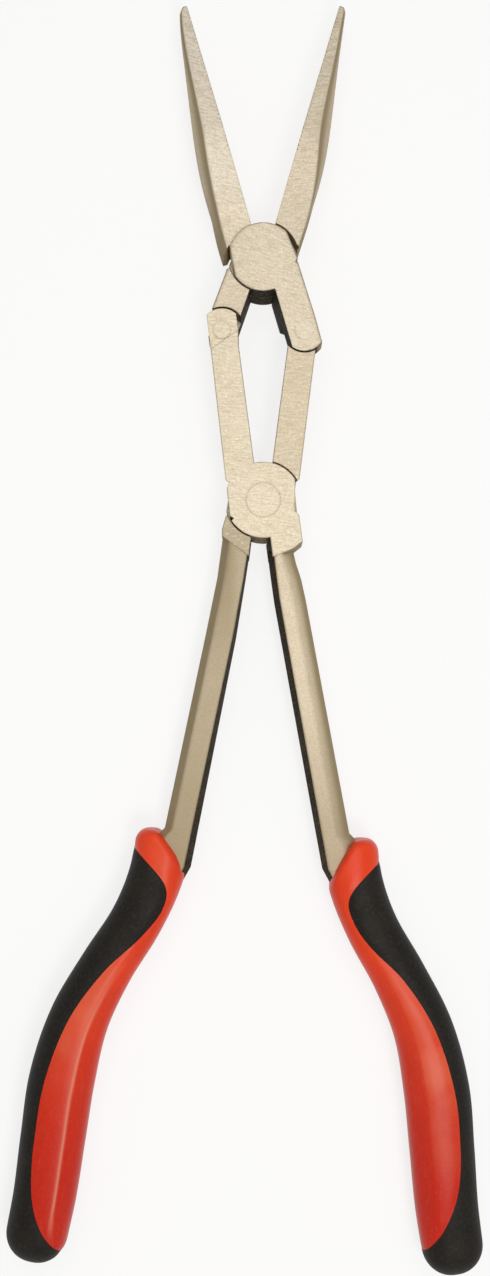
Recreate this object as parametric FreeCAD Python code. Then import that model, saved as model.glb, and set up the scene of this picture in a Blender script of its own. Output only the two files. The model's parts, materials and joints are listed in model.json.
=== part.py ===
import FreeCAD, Part
import math
import os
from FreeCAD import Vector

os.makedirs("parts", exist_ok=True)

# Double-jointed long-reach needle nose pliers, in millimetres.
# Origin: on the main rivet's axis, in the ground rear face of the joint.
# +Y points to the jaw tips, +X to the right, +Z out of the front face.
# Every forging is drawn as it lies in the closed pliers, then swung open about its pivots.

# --- linkage ---
handle_reach = 37.25      # main pivot to a link pivot, along the closed pliers
jaw_reach = 17.53         # jaw pivot to a link pivot, along the closed pliers
link_offset = 4.05        # link pivots off the centre line, closed
handle_opening = 7.47     # degrees each handle is swung open from closed

# --- steel ---
thickness = 10.0          # of the ground steel, front to rear
edge_break = 0.15         # chamfer along the ground faces
shortest_break = 1.3      # edges under this length are left sharp
lap_gap = 0.06            # between the two halves of a lap
seam_gap = 0.28           # round the end of a half lap, in its pocket
main_boss_radius = 8.17
jaw_boss_radius = 7.38
jaw_flat_half = 6.75      # flats beside the jaw rivet, off its axis
jaw_flat_tilt = 6.2       # degrees they spread toward the levers
front_end_radius = 4.62   # end of the laps in front
rear_end_radius = 3.05    # end of the laps behind them, kept inside the front ones
rear_lap_half = 2.88      # from their pivot to their inner edge
lap_swing = 36.0          # degrees a lap clears from closed to fully open

# --- rivets ---
running_clearance = 0.04  # radial, where a piece turns on a rivet
open_clearance = 0.27     # radial, at the right link pivot
main_rivet_radius = 2.8
main_rivet_head = 3.75
jaw_rivet_radius = 2.5
jaw_rivet_head = 3.2
link_rivet_radius = 1.45
link_rivet_head = 1.97
head_angle = 50.0         # degrees between a flush head's cone and the rivet's axis

# --- handle levers and blocks ---
lever_inner = 0.9         # inner edge off the centre line, closed
lever_outer_top = 6.9     # outer edge at the lap
lap_step_depth = 0.15     # the lap is ground this much lower than the lever
lap_step_drop = 2.3       # its step crosses the lever this far below the link pivot
lap_step_tilt = 27.0
lap_shoulder = 3.6        # a lever's inner edge starts to lean this far below its link pivot
lap_shoulder_end = 1.0    # and reaches the lap's own edge this far below it
notch_height = 4.7        # relief notch between lever and boss
notch_depth = 0.65
notch_draft = 1.7         # its roof is this much higher at the rear than in front
block_top = 3.2           # the shank's block starts this far below the main pivot
block_notch = 0.6         # relief notch between block and boss
block_root = 3.0          # the block's top runs this far in under the boss
end_stock = 1.0           # metal left over the rounded ends and the holes, for the cuts to take

# --- shanks and tangs ---
shank_wall = 1.6          # flat on the outer side
shank_bevel = 1.7         # bevel between the flat and the outer side
shank_round = 3.0         # crown between the crest and the outer side
shank_draft = 1.3         # slope of the inner side
crest_drop = 0.3          # the crest on that side stands this much under the crown
ridge_radius = 0.5        # roundings of a shank's section, from the inner ridge round the front
crest_radius = 0.6
crown_radius = 1.5
side_radius = 1.2
bevel_radius = 0.6
tang_width = 4.6
tang_thickness = 4.0
tang_share = 0.86         # of the grip's length
tang_points = 9           # that its sides pass through
tang_top = 82.0           # the tang leaves the shank this far below the main pivot

# --- jaws ---
jaw_length = 58.0         # jaw pivot to tip
tip_gap = 0.16            # between the tips, closed
tip_width = 0.95          # flat end of a tip
tip_bevel = 42.0          # degrees, from the tip's end to the flank
root_relief = 0.45        # each gripping face falls back this much at its root
flank_share = 0.32        # of a needle's half thickness, the upright part of its flank
needle_corner = 0.3       # roundings of a needle's section: at its faces
flank_corner = 0.4        # and at its flank
nose_radius = 0.25        # roundings of the tip, on the gripping side
tip_radius = 0.4          # and on the flank's side
jaw_stock = 1.0           # a needle is drawn this far past the centre line, then trimmed
foot_height = 4.6         # the flank ends this far above the jaw pivot, where it meets the boss
foot_slope = 50.0         # degrees its end slopes down from there
foot_run = 0.8            # width of that slope; the end is square beyond it
foot_overlap = 0.3        # the slope starts this far inside the flank
tooth_pitch = 1.0
tooth_depth = 0.26
tooth_flank = 4.0         # width of the cutter behind a tooth, in depths
tooth_start = 24.0        # first tooth from the jaw pivot
tooth_margin = 1.6        # plain face left at the tip

# --- grips ---
grip_height = 80.0        # main pivot to the collar
grip_length = 90.6        # collar to butt
collar_round = 2.0        # rolling of the lip's front and rear rims
collar_skin = 0.1         # the lip's envelope is this much deeper than the grip there
collar_drop = 12.0        # and reaches this far below the collar
collar_shoulder = 6.0     # and the hump ends here
collar_fall = 0.6         # the hump is this much lower at its shoulder
collar_corner = 2.5       # rounding of the crest and the shoulder
grip_squareness = 2.4     # of a section: 2 would be an ellipse
outline_points = 17       # corners of a section's rounded side
butt_close = 0.93         # how far the butt's dome closes
seam_limit = 0.999        # share of the half width that the seam stays inside, at the back and the belly

# How a grip runs: share of the length, offset off the line of the grip, lean in degrees, width and thickness.
grip_sections = [
    (-0.080, 0.0, 2.0, 12.6, 12.4),
    (0.045, 0.3, 6.0, 12.1, 12.6),
    (0.156, 2.6, 19.0, 11.7, 12.4),
    (0.279, 7.0, 21.0, 12.0, 12.8),
    (0.413, 10.7, 11.0, 13.2, 13.6),
    (0.559, 11.9, 0.5, 14.4, 14.0),
    (0.704, 11.4, -3.5, 14.2, 13.8),
    (0.838, 10.8, -0.5, 13.8, 13.6),
    (0.933, 10.85, 1.0, 13.5, 13.2),
]

# The seam between pad and sleeve: share of the length, and of the half width (1 is the back, -1 the belly).
pad_edge = [
    (-0.01, 1.4), (0.02, 0.55), (0.07, -0.4), (0.12, -0.6), (0.19, -0.42), (0.30, 0.08),
    (0.43, 0.33), (0.65, 0.48), (0.80, 0.32), (0.89, -0.3), (0.975, -1.4),
]

# Where a grip is cut into sections, as shares of its length. The pad starts at the first shared one,
# and the sleeve ends at the last.
collar_cuts = [-0.08]
shared_cuts = [0.0036, 0.009, 0.020, 0.040, 0.070, 0.105, 0.150, 0.200, 0.255, 0.320, 0.390,
               0.460, 0.540, 0.620, 0.700, 0.780, 0.840, 0.890, 0.920, 0.945]
butt_cuts = [0.968, 0.988, 1.0]

# The two handles differ in their laps and below the main joint, as they were bent and ground apart.
# Closed: each shank row is the drop below the main pivot, the inner and outer edge off the centre line,
# how far the faces stand below the ground ones, and the slope of the inner side at the flat face.
front_handle = {
    "flats": [(7.5, 1.2), (6.9, -7.5)],   # beside the main rivet: off its axis, degrees they spread below
    "lever_outer_low": 7.45,          # outer edge of the lever at the main boss
    "notch_roof": (notch_draft, 0.0),     # how much higher it is at the rear and at the front face
    "end_radius": front_end_radius,
    "lap_inner": 0.6,                 # inner edge beside the link pivot
    "nick": [(-8.4, -1.9), (-6.7, -3.1), (-7.8, -3.9)],   # corner nicked out of the boss, in front
    "block_inner": (-0.45, 0.45),     # inner edge at the rear and at the front face
    "block_end": 12.4,
    "block": [(6.7, 3.6), (7.2, 4.2), (7.25, 9.9), (5.1, 11.2)],
    "shank": [(10.5, -0.45, 5.05, 0.1, 1.3), (14.0, -0.5, 5.4, 0.3, 1.3), (17.5, -0.5, 6.05, 0.45, 1.3),
              (22.0, -0.45, 6.45, 0.5, 1.3), (73.6, 2.05, 9.25, 0.95, 1.3), (75.4, 2.15, 10.6, 0.95, 1.3),
              (80.5, 2.4, 10.9, 1.0, 1.3), (88.0, 5.2, 11.6, 2.4, 1.3)],
    "grip_offset": 8.9,
    "grip_lean": 0.0,
    "grip_drop": 0.4,
    "collar": (1.6, 5.4, 50.0),       # crest of its hump off the grip's line and above its start, lip's slope
}
rear_handle = {
    "flats": [(7.35, 13.5), (7.65, 1.5)],
    "lever_outer_low": 7.15,
    "notch_roof": (0.0, notch_draft),
    "end_radius": rear_end_radius,
    "lap_inner": link_offset - rear_lap_half,
    "nick": [],
    "block_inner": (1.5, 1.5),
    "block_end": 12.4,
    "block": [(6.8, 3.8), (7.5, 4.5), (7.95, 7.4), (7.75, 8.9)],
    "shank": [(8.0, 1.4, 7.7, 0.08, 0.3), (17.5, 1.6, 7.75, 0.3, 0.4), (30.0, 2.0, 8.65, 0.4, 0.7),
              (72.7, 4.8, 12.0, 0.9, 1.4), (74.5, 4.9, 13.4, 0.9, 1.4), (80.5, 5.3, 13.9, 1.0, 1.5),
              (88.0, 8.3, 14.9, 2.4, 1.3)],
    "grip_offset": 12.1,
    "grip_lean": 3.5,
    "grip_drop": -0.4,
    "collar": (2.1, 6.3, 42.0),
}

# One row per section of a needle: distance from the pivot, half thickness, then the width at the lap's
# face, at the far face and at the flank between them.
front_jaw = {
    "end_radius": front_end_radius,
    "lever_inner": [(-0.3, -0.3), (0.4, 0.4)],    # beside each pivot, at the rear and at the front face
    "lever_outer": [(6.8, 1.5), (7.05, 16.0), (6.85, 24.0)],
    "notch": (6.35, 3.0, 35.0),       # relief between boss and lever: its root, and its slopes in degrees
    "needle": [(0.0, 5.2, 6.6, 7.8, 8.1), (16.0, 5.2, 6.25, 7.4, 8.0), (28.0, 5.1, 4.85, 5.6, 7.15),
               (42.0, 3.5, 3.6, 3.8, 4.9), (54.0, 1.9, 2.2, 2.2, 2.8), (58.0, 1.3, 1.3, 1.3, 1.75)],
}
rear_jaw = {
    "end_radius": rear_end_radius,
    "lever_inner": [(0.3, link_offset - rear_lap_half)] * 2,
    "lever_outer": [(6.65, 1.5), (6.75, 5.5), (7.35, 13.5), (6.93, 16.5), (6.93, 24.0)],
    "notch": (5.9, 4.0, 45.0),
    "needle": [(0.0, 5.2, 6.6, 6.6, 6.75), (15.5, 5.2, 6.6, 6.6, 6.75), (21.0, 5.2, 6.2, 5.75, 6.8),
               (30.0, 4.8, 4.9, 3.95, 6.05), (42.0, 3.4, 3.4, 2.8, 4.1), (54.0, 1.9, 1.9, 1.65, 2.2),
               (58.0, 1.3, 1.2, 1.2, 1.6)],
}

# --- worked out from the dimensions above ---
middle = thickness / 2
far = 300.0               # beyond the tool in every direction
lever_length = math.hypot(handle_reach, link_offset)
jaw_lever_length = math.hypot(jaw_reach, link_offset)
lever_angle = math.degrees(math.atan2(link_offset, handle_reach)) + handle_opening
link_half_span = lever_length * math.sin(math.radians(lever_angle))
jaw_angle = math.degrees(math.asin(link_half_span / jaw_lever_length))
jaw_opening = jaw_angle - math.degrees(math.atan2(link_offset, jaw_reach))
jaw_pivot_height = (lever_length * math.cos(math.radians(lever_angle))
                    + jaw_lever_length * math.cos(math.radians(jaw_angle)))


def polar(length, degrees):
    a = math.radians(degrees)
    return Vector(length * math.cos(a), length * math.sin(a), 0)


def rounded_wire(corners, radii):
    # closed wire through planar corners, each rounded by a tangent arc of its radius
    count = len(corners)
    arcs = []
    for i, corner in enumerate(corners):
        if radii[i] == 0:
            arcs.append((corner, None, corner))
            continue
        back = (corners[i - 1] - corner).normalize()
        ahead = (corners[(i + 1) % count] - corner).normalize()
        half = back.getAngle(ahead) / 2
        run = radii[i] / math.tan(half)
        middle_way = (back + ahead).normalize() * (radii[i] / math.sin(half) - radii[i])
        arcs.append((corner + back * run, corner + middle_way, corner + ahead * run))
    edges = []
    for i in range(count):
        start, via, end = arcs[i]
        if via is not None:
            edges.append(Part.Arc(start, via, end).toShape())
        following = arcs[(i + 1) % count][0]
        if end.distanceToPoint(following) > 1e-6:
            edges.append(Part.makeLine(end, following))
    return Part.Wire(edges)


def flat_wire(corners, z):
    return rounded_wire([Vector(x, y, z) for x, y in corners], [0] * len(corners))


def prism(corners, low, high):
    return Part.Face(flat_wire(corners, low)).extrude(Vector(0, 0, high - low))


def drafted_prism(low_corners, high_corners):
    return Part.makeLoft([flat_wire(low_corners, 0), flat_wire(high_corners, thickness)], True, True)


def disc(x, y, radius, low=0.0, high=thickness):
    return Part.makeCylinder(radius, high - low, Vector(x, y, low))


def slab(x0, y0, x1, y1, low=0.0, high=thickness):
    return Part.makeBox(x1 - x0, y1 - y0, high - low, Vector(x0, y0, low))


def flipped(shape):
    # turned over about the line of the tool: front becomes rear, left becomes right
    return shape.rotated(Vector(0, 0, middle), Vector(0, 1, 0), 180)


def swung(shape, degrees, height=0.0):
    turned = shape.rotated(Vector(0, 0, 0), Vector(0, 0, 1), degrees)
    return turned.translated(Vector(0, height, 0))


def broken_edges(plate):
    # a small chamfer along both ground faces of a plate, but for the short edges in its notches
    plate = plate.removeSplitter()
    rims = []
    for edge in plate.Edges:
        box = edge.BoundBox
        on_face = abs(box.ZMin) < 1e-6 or abs(box.ZMax - thickness) < 1e-6
        if on_face and box.ZLength < 1e-6 and edge.Length > shortest_break:
            rims.append(edge)
    return plate.makeChamfer(edge_break, rims)


def lap_end(plate, x, y, side, radius):
    # rounds a lever's end about its link pivot; side is +1 when the end is above the pivot
    keep = slab(-far, y - far, far, y) if side > 0 else slab(-far, y, far, y + far)
    return plate.common(keep.fuse(disc(x, y, radius)))


def pocket(x, y, radius):
    # the rear half that is cut away round a pivot, for the other piece's half
    return disc(x, y, radius + seam_gap, -end_stock, middle + lap_gap / 2)


def lap_pocket(x, y, side, radius):
    # the same for a lap: a front lap has all of its end cut away behind, as far as the other lever swings
    if radius == rear_end_radius:
        return pocket(x, y, front_end_radius)
    swing = math.radians(lap_swing)
    corners = [(-far, -seam_gap), (0, -seam_gap), (far * math.cos(swing), -far * math.sin(swing)),
               (far, far), (-far, far)]
    end = prism([(x + side * dx, y + side * dy) for dx, dy in corners], -end_stock, middle + lap_gap / 2)
    return end.fuse(pocket(x, y, rear_end_radius))


def rivet(radius, head, grow=0.0):
    # headed flush at both ends; grown by a clearance it is the hole that the rivet turns in
    depth = (head - radius) / math.tan(math.radians(head_angle))
    extra = end_stock if grow else 0.0
    wide = head + grow
    outline = [(0, -extra), (wide, -extra), (wide, 0), (radius + grow, depth),
               (radius + grow, thickness - depth), (wide, thickness), (wide, thickness + extra),
               (0, thickness + extra)]
    corners = []
    for r, z in outline:
        if not corners or corners[-1].distanceToPoint(Vector(r, 0, z)) > 1e-6:
            corners.append(Vector(r, 0, z))
    face = Part.Face(rounded_wire(corners, [0] * len(corners)))
    return face.revolve(Vector(0, 0, 0), Vector(0, 0, 1), 360)


def shank_section(drop, inner, outer, shy, draft):
    # flat on the rear face with a bevel, crowned on the front, ridged along the inner side
    low, high = shy, thickness - shy
    corners = [
        (inner, middle),
        (inner + shank_draft, high - crest_drop),
        (outer - shank_round, high),
        (outer, middle + shank_wall / 2),
        (outer, middle - shank_wall / 2),
        (outer - shank_bevel, low),
        (inner + draft, low),
    ]
    radii = [ridge_radius, crest_radius, crown_radius, side_radius, bevel_radius] + [ridge_radius] * 2
    return rounded_wire([Vector(x, -drop, z) for x, z in corners], radii)


def eased(rows, share):
    # the values of a table at a share of the length, eased from row to row
    last = len(rows) - 1
    i = max(0, min(last - 1, sum(row[0] <= share for row in rows) - 1))
    low, high = rows[i], rows[i + 1]
    before, after = rows[max(i - 1, 0)], rows[min(i + 2, last)]
    span = high[0] - low[0]
    t = max(0.0, min(1.0, (share - low[0]) / span))
    values = []
    for k in range(1, len(low)):
        leave = (high[k] - before[k]) / (high[0] - before[0]) * span
        arrive = (after[k] - low[k]) / (after[0] - low[0]) * span
        rise = high[k] - low[k]
        bend = 3 * rise - 2 * leave - arrive
        values.append(low[k] + t * (leave + t * (bend + t * (leave + arrive - 2 * rise))))
    return values


def squared(share):
    # a share of the half width or height, pushed out from an ellipse toward a squarer section
    return math.copysign(abs(share) ** (2 / grip_squareness), share)


def grip_frame(handle, share):
    # centre of a grip's section and the direction across it, in the closed handle's frame
    offset, lean = eased(grip_sections, share)[:2]
    turn = -90 + handle["grip_lean"]
    start = Vector(handle["grip_offset"], -grip_height - handle["grip_drop"], middle)
    centre = start + polar(share * grip_length, turn) + polar(offset, turn + 90)
    return centre, polar(1, turn + 90 + lean)


def seam_angle(share):
    # how far round from a grip's back the pad meets the sleeve
    across = max(-seam_limit, min(seam_limit, eased(pad_edge, share)[0]))
    return math.acos(math.copysign(abs(across) ** (grip_squareness / 2), across))


def grip_wire(handle, share, first, last):
    # a section of a grip between two angles: facets round its outside, then straight back inside it
    centre, across = grip_frame(handle, share)
    width, depth = eased(grip_sections, share)[2:]
    dome = max(0.0, (share - grip_sections[-1][0]) / (1 - grip_sections[-1][0]))
    shrink = math.sqrt(1 - (butt_close * dome) ** 2)
    points = []
    for i in range(outline_points):
        angle = first + (last - first) * i / (outline_points - 1)
        beside = squared(math.cos(angle)) * shrink * width / 2
        above = squared(math.sin(angle)) * shrink * depth / 2
        points.append(centre + across * beside + Vector(0, 0, above))
    return Part.makePolygon(points + [points[0]])


def grip_pad(handle):
    # the back of a grip, from its rounded top to the dome of the butt
    wires = [grip_wire(handle, cut, -seam_angle(cut), seam_angle(cut)) for cut in shared_cuts + butt_cuts]
    return Part.makeLoft(wires, True, True)


def grip_sleeve(handle):
    # the belly of a grip, and all round it at the collar
    wires = []
    for cut in collar_cuts + shared_cuts:
        seam = seam_angle(cut)
        wires.append(grip_wire(handle, cut, seam, 2 * math.pi - seam))
    return Part.makeLoft(wires, True, True).cut(above_collar(handle))


def above_collar(handle):
    # the space over the collar's oblique lip and its hump, whose front and rear rims are rolled
    depth = grip_sections[0][4] + collar_skin
    crest, rise, slope = handle["collar"]
    reach = (collar_drop + rise) / math.tan(math.radians(slope))
    shoulder = rise - collar_fall
    fall = collar_shoulder + shoulder + collar_drop
    lip = [(crest - reach, -collar_drop), (crest, rise), (collar_shoulder, shoulder), (fall, -collar_drop)]
    start = Vector(handle["grip_offset"], -grip_height - handle["grip_drop"], middle - depth / 2)
    outline = rounded_wire([start + Vector(x, y, 0) for x, y in lip], [0, collar_corner, collar_corner, 0])
    stock = Part.Face(outline).extrude(Vector(0, 0, depth))
    rims = [edge for edge in stock.Edges
            if edge.BoundBox.ZLength < 1e-6 and edge.BoundBox.YMax > start.y - collar_drop + 1e-6]
    stock = stock.makeFillet(collar_round, rims)
    stock.rotate(start, Vector(0, 0, 1), handle["grip_lean"])
    above = slab(-far, start.y - collar_drop / 2, far, start.y + far, -far, far)
    return above.cut(stock)


def tang(handle):
    # a flat bar that follows the grip's centre line
    top = (tang_top - grip_height) / grip_length
    left, right = [], []
    for i in range(tang_points):
        centre, across = grip_frame(handle, top + (tang_share - top) * i / (tang_points - 1))
        centre = centre - Vector(0, 0, tang_thickness / 2)
        left.append(centre - across * (tang_width / 2))
        right.append(centre + across * (tang_width / 2))
    sides = []
    for row in (left, right):
        curve = Part.BSplineCurve()
        curve.interpolate(row)
        sides.append(curve.toShape())
    outline = [sides[0], Part.makeLine(left[-1], right[-1]), sides[1], Part.makeLine(right[0], left[0])]
    return Part.Face(Part.Wire(Part.__sortEdges__(outline))).extrude(Vector(0, 0, tang_thickness))


def handle_plate(handle):
    # the ground lever, boss and block, before laps and holes
    x, y = -link_offset, handle_reach
    top = y + front_end_radius + end_stock
    lap_inner = handle["lap_inner"]
    foot = -handle["lever_outer_low"]
    lever = prism([(-lever_inner, 0), (-lever_inner, y - lap_shoulder), (-lap_inner, y - lap_shoulder_end),
                   (-lap_inner, top), (-lever_outer_top, top), (-lever_outer_top, y), (foot, notch_height),
                   (foot, 0)], 0, thickness)
    lever = lap_end(lever, x, y, 1, handle["end_radius"])
    rims = []
    for up in handle["notch_roof"]:
        roof = notch_height + up
        rims.append([(foot + notch_depth, -end_stock), (foot + notch_depth, roof),
                     (foot - end_stock, roof + notch_depth + end_stock), (foot - end_stock, -end_stock)])
    lever = lever.cut(drafted_prism(rims[0], rims[1]))
    high = 2 * main_boss_radius
    corners = []
    for side, (out, spread) in zip((-1, 1), handle["flats"]):
        for level in (side * high, -side * high):
            corners.append((side * (out - level * math.tan(math.radians(spread))), level))
    boss = disc(0, 0, main_boss_radius).common(prism(corners, 0, thickness))
    outer = [(x, -drop) for x, drop in handle["block"]]
    rims = []
    for inner in handle["block_inner"]:
        rims.append([(inner, -block_top), (inner, -handle["block_end"])] + outer[::-1]
                    + [(outer[0][0] - block_notch, -block_top), (block_root, -block_top)])
    return broken_edges(lever.fuse([boss, drafted_prism(rims[0], rims[1])]))


def lap_step():
    # the lap's front face is ground a little lower than the lever's
    cut = slab(-far, 0, far, far, thickness - lap_step_depth, thickness + end_stock)
    cut = cut.rotated(Vector(0, 0, 0), Vector(0, 0, 1), lap_step_tilt)
    return cut.translated(Vector(-link_offset, handle_reach - lap_step_drop, 0))


def handle_forging(handle, main_hole, link_hole):
    body = handle_plate(handle)
    shank = Part.makeLoft([shank_section(*row) for row in handle["shank"]], True, True)
    body = body.fuse([shank, tang(handle)])
    x, y = -link_offset, handle_reach
    cuts = [pocket(0, 0, main_boss_radius), lap_pocket(x, y, 1, handle["end_radius"]),
            lap_step(), main_hole, link_hole.translated(Vector(x, y, 0))]
    if handle["nick"]:
        cuts.append(prism(handle["nick"], middle, thickness + end_stock))
    return body.cut(cuts).removeSplitter()


def face_offset(distance):
    # how far a gripping face stands off the centre line, closed
    return tip_gap / 2 + root_relief * (1 - distance / jaw_length)


def needle(rows):
    wires = []
    for distance, half, lap_width, far_width, flank in rows:
        upright = half * flank_share
        corners = [(jaw_stock, middle - half), (jaw_stock, middle + half), (-lap_width, middle + half),
                   (-flank, middle + upright), (-flank, middle - upright), (-far_width, middle - half)]
        radii = [0, 0, needle_corner, flank_corner, flank_corner, needle_corner]
        wires.append(rounded_wire([Vector(x, distance, z) for x, z in corners], radii))
    body = Part.makeLoft(wires, True, False)
    tip = jaw_length
    reach = tip / math.tan(math.radians(tip_bevel))
    outline = [(-face_offset(0), 0), (-face_offset(tip), tip), (-tip_width, tip), (-tip_width - reach, 0)]
    trim = Part.Face(rounded_wire([Vector(x, y, 0) for x, y in outline], [0, nose_radius, tip_radius, 0]))
    body = body.common(trim.extrude(Vector(0, 0, thickness)))
    start = rows[0][2] - foot_overlap
    low = foot_height - foot_run * math.tan(math.radians(foot_slope))
    foot = [(-start, foot_height), (-start - foot_run, low), (-far, low), (-far, -far), (-start, -far)]
    return body.cut(prism(foot, -end_stock, thickness + end_stock))


def teeth():
    # V grooves straight across a gripping face
    grooves = []
    count = int((jaw_length - tooth_margin - tooth_start) / tooth_pitch)
    for i in range(count):
        y = tooth_start + i * tooth_pitch
        x = -face_offset(y)
        wide = tooth_flank * tooth_depth
        grooves.append(prism([(x + wide, y - wide), (x + wide, y + wide), (x - tooth_depth, y)],
                             -end_stock, thickness + end_stock))
    return grooves


def jaw_forging(jaw, jaw_hole, link_hole):
    x, y = link_offset, -jaw_reach
    outer = [(edge, -drop) for edge, drop in jaw["lever_outer"]]
    rims = []
    for beside_jaw, beside_link in jaw["lever_inner"]:
        rims.append([(beside_jaw, 0), (beside_link, y), (beside_link, outer[-1][1])] + outer[::-1]
                    + [(outer[0][0], 0)])
    lever = lap_end(drafted_prism(rims[0], rims[1]), x, y, -1, jaw["end_radius"])
    high = 2 * jaw_boss_radius
    spread = high * math.tan(math.radians(jaw_flat_tilt))
    flats = prism([(spread - jaw_flat_half, high), (jaw_flat_half - spread, high),
                   (jaw_flat_half + spread, -high), (-jaw_flat_half - spread, -high)], 0, thickness)
    root, drop, slope = jaw["notch"]
    rise = block_root * math.tan(math.radians(slope))
    notch = prism([(root, -drop), (root + block_root, rise - drop), (root + block_root, -rise - drop)],
                  -end_stock, thickness + end_stock)
    plate = broken_edges(lever.fuse(disc(0, 0, jaw_boss_radius).common(flats)).cut(notch))
    body = plate.fuse(needle(jaw["needle"]))
    body = body.cut([pocket(0, 0, jaw_boss_radius), lap_pocket(x, y, -1, jaw["end_radius"]), jaw_hole,
                     link_hole.translated(Vector(x, y, 0))] + teeth())
    return body.removeSplitter()


def main():
    main_pin = rivet(main_rivet_radius, main_rivet_head)
    main_bore = rivet(main_rivet_radius, main_rivet_head, running_clearance)
    jaw_pin = rivet(jaw_rivet_radius, jaw_rivet_head)
    jaw_bore = rivet(jaw_rivet_radius, jaw_rivet_head, running_clearance)
    link_pin = rivet(link_rivet_radius, link_rivet_head)
    link_bore = rivet(link_rivet_radius, link_rivet_head, running_clearance)
    open_bore = rivet(link_rivet_radius, link_rivet_head, open_clearance)

    handle_front = swung(handle_forging(front_handle, main_bore, link_bore), handle_opening)
    handle_rear = swung(flipped(handle_forging(rear_handle, main_pin, open_bore)), -handle_opening)
    jaw_front = swung(jaw_forging(front_jaw, jaw_pin, link_pin), jaw_opening, jaw_pivot_height)
    jaw_rear = swung(flipped(jaw_forging(rear_jaw, jaw_bore, link_pin)), -jaw_opening, jaw_pivot_height)
    link_height = lever_length * math.cos(math.radians(lever_angle))

    parts = {
        "handle_front": handle_front,
        "handle_rear": handle_rear,
        "jaw_front": jaw_front,
        "jaw_rear": jaw_rear,
        "main_rivet": main_pin,
        "jaw_rivet": jaw_pin.translated(Vector(0, jaw_pivot_height, 0)),
        "link_rivet_left": link_pin.translated(Vector(-link_half_span, link_height, 0)),
        "link_rivet_right": link_pin.translated(Vector(link_half_span, link_height, 0)),
    }
    for side, handle, steel in (("right", front_handle, handle_front), ("left", rear_handle, handle_rear)):
        for name, piece in (("sleeve", grip_sleeve(handle)), ("pad", grip_pad(handle))):
            if side == "left":
                placed = swung(flipped(piece), -handle_opening)
            else:
                placed = swung(piece, handle_opening)
            parts["grip_%s_%s" % (name, side)] = placed.cut(steel)

    for name, shape in parts.items():
        shape.exportStep("parts/%s.step" % name)
        print(name, len(shape.Solids), round(shape.Volume, 2), shape.isValid(), len(shape.Faces))


main()
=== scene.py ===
import json
import math
import bmesh
import bpy
from mathutils import Matrix, Vector, kdtree


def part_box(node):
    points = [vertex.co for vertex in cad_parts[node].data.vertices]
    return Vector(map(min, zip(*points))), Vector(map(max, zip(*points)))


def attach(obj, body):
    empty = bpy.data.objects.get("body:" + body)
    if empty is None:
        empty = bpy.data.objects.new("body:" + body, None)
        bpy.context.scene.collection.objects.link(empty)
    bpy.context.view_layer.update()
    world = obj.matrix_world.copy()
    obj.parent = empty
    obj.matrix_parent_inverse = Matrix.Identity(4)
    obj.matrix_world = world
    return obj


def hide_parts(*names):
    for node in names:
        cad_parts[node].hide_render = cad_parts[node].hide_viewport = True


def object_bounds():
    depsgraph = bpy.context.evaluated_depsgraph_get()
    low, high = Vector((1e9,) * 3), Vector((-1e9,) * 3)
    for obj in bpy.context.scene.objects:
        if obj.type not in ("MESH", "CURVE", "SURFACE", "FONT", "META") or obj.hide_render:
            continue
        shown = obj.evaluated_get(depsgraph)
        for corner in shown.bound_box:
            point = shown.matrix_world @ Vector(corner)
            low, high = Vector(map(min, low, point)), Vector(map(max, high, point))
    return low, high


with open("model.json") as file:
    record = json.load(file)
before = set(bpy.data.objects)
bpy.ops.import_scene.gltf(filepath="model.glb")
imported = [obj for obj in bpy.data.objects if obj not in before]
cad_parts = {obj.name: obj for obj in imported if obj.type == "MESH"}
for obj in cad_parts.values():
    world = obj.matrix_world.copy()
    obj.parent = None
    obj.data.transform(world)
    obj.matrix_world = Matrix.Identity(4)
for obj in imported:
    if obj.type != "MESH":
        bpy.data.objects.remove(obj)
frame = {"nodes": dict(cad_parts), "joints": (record.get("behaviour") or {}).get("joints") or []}        # forgings and rivets, and the plain solids that the grips replace
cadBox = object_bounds()
mm = 0.001
print("frame loaded with", len(frame["nodes"]), "nodes")


def openAngle(name):
    # a joint closes at its lower limit, so in degrees each of its two sides stands open by half of that
    joint = next(joint for joint in frame["joints"] if joint["name"] == name)
    return -joint["range_deg"][0] / 2


jawOpening = openAngle("jaw_pivot")
handleOpening = openAngle("main_pivot")
low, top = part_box("main_rivet")                # ground flush with both faces of the steel
steelMiddle = round((low + top).z / 2 / mm, 3)


class Wire:
    # a socket that can be used in a Python expression
    def __init__(self, coat, socket):
        self.coat = coat
        self.socket = socket

    def math(self, operation, *others):
        values = dict(enumerate((self,) + others))
        return self.coat.node("ShaderNodeMath", {"operation": operation}, values)

    def __add__(self, other):
        return self.math("ADD", other)

    def __mul__(self, other):
        return self.math("MULTIPLY", other)

    def __sub__(self, other):
        return self.math("SUBTRACT", other)

    def __rsub__(self, other):
        return self.coat.node("ShaderNodeMath", {"operation": "SUBTRACT"}, {0: other, 1: self})

    __radd__ = __add__
    __rmul__ = __mul__


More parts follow.
